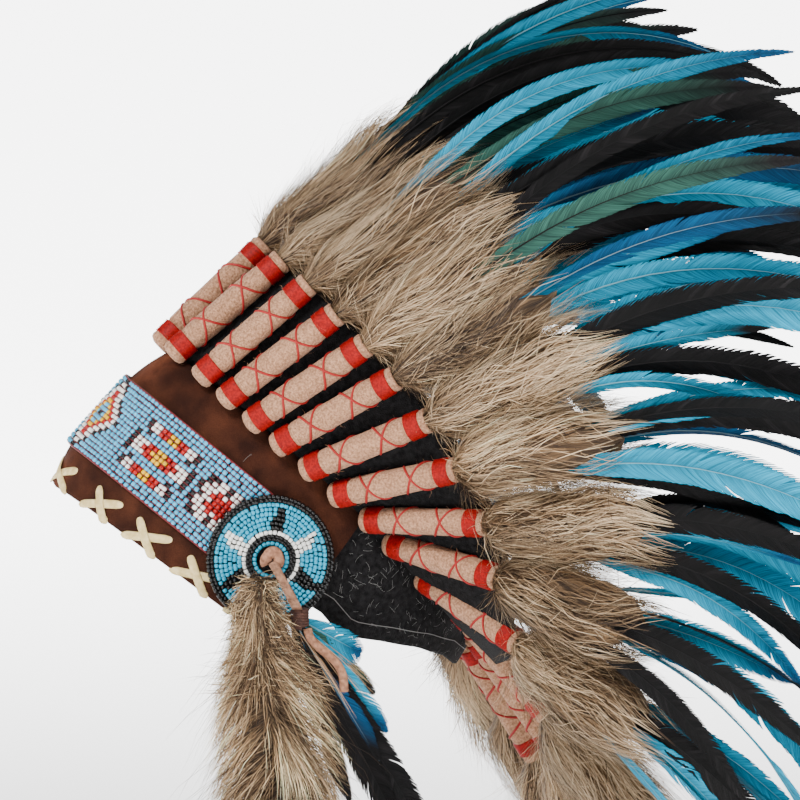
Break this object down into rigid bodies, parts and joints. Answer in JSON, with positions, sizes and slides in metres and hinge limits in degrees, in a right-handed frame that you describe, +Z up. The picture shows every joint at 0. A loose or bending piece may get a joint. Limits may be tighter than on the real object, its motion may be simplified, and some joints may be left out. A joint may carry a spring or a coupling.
{
  "type": "feathered headdress",
  "caption": "Black felt skull cap with a leather brow band, a beaded strip and rosettes, a crown of felt-wrapped quills with fur tufts and long curved feathers, and a fur side drop.",
  "frame": {"origin": "middle of the cap's inner crown, where the cap rests on a head", "axes": "+Z up, -Y the wearer's front, +X the wearer's left, with the cap tipped back as it is worn in the picture"},
  "size_m": [0.6218, 0.4026, 0.6307],
  "materials": {
    "felt_black": "matt wool felt",
    "leather_brown": "dark brown suede",
    "beads": "glossy seed beads, pale blue ground with red, white, yellow and black",
    "felt_beige": "beige wool felt",
    "fur": "long straight taupe fur",
    "feather": "turquoise, teal and black cock feathers",
    "thong_tan": "tan leather thong",
    "thread_red": "red cotton thread",
    "lace_cream": "cream flat leather lace"
  },
  "bodies": {
    "root": {"cap": "felt_black", "brow_band": "leather_brown", "beaded_strip": "beads", "quill_wrap_left_01": "felt_beige", "plume_left_01": "fur", "quill_wrap_right_01": "felt_beige", "plume_right_01": "fur", "quill_wrap_left_02": "felt_beige", "plume_left_02": "fur", "quill_wrap_right_02": "felt_beige", "plume_right_02": "fur", "quill_wrap_left_03": "felt_beige", "plume_left_03": "fur", "quill_wrap_right_03": "felt_beige", "plume_right_03": "fur", "quill_wrap_left_04": "felt_beige", "plume_left_04": "fur", "quill_wrap_right_04": "felt_beige", "plume_right_04": "fur", "quill_wrap_left_05": "felt_beige", "plume_left_05": "fur", "quill_wrap_right_05": "felt_beige", "plume_right_05": "fur", "quill_wrap_left_06": "felt_beige", "plume_left_06": "fur", "quill_wrap_right_06": "felt_beige", "plume_right_06": "fur", "quill_wrap_left_07": "felt_beige", "plume_left_07": "fur", "quill_wrap_right_07": "felt_beige", "plume_right_07": "fur", "quill_wrap_left_08": "felt_beige", "plume_left_08": "fur", "quill_wrap_right_08": "felt_beige", "plume_right_08": "fur", "quill_wrap_left_09": "felt_beige", "plume_left_09": "fur", "quill_wrap_right_09": "felt_beige", "plume_right_09": "fur", "quill_wrap_left_10": "felt_beige", "plume_left_10": "fur", "quill_wrap_right_10": "felt_beige", "plume_right_10": "fur", "quill_wrap_left_11": "felt_beige", "plume_left_11": "fur", "quill_wrap_right_11": "felt_beige", "plume_right_11": "fur", "quill_wrap_left_12": "felt_beige", "plume_left_12": "fur", "quill_wrap_right_12": "felt_beige", "plume_right_12": "fur", "quill_wrap_middle_13": "felt_beige", "plume_middle_13": "fur", "rosette_left": "beads", "rosette_right": "beads", "thong_knot_right": "thong_tan", "thong_left": "thong_tan", "side_drop_left": "fur", "thong_tail_left": "thong_tan"}
  },
  "joints": []
}
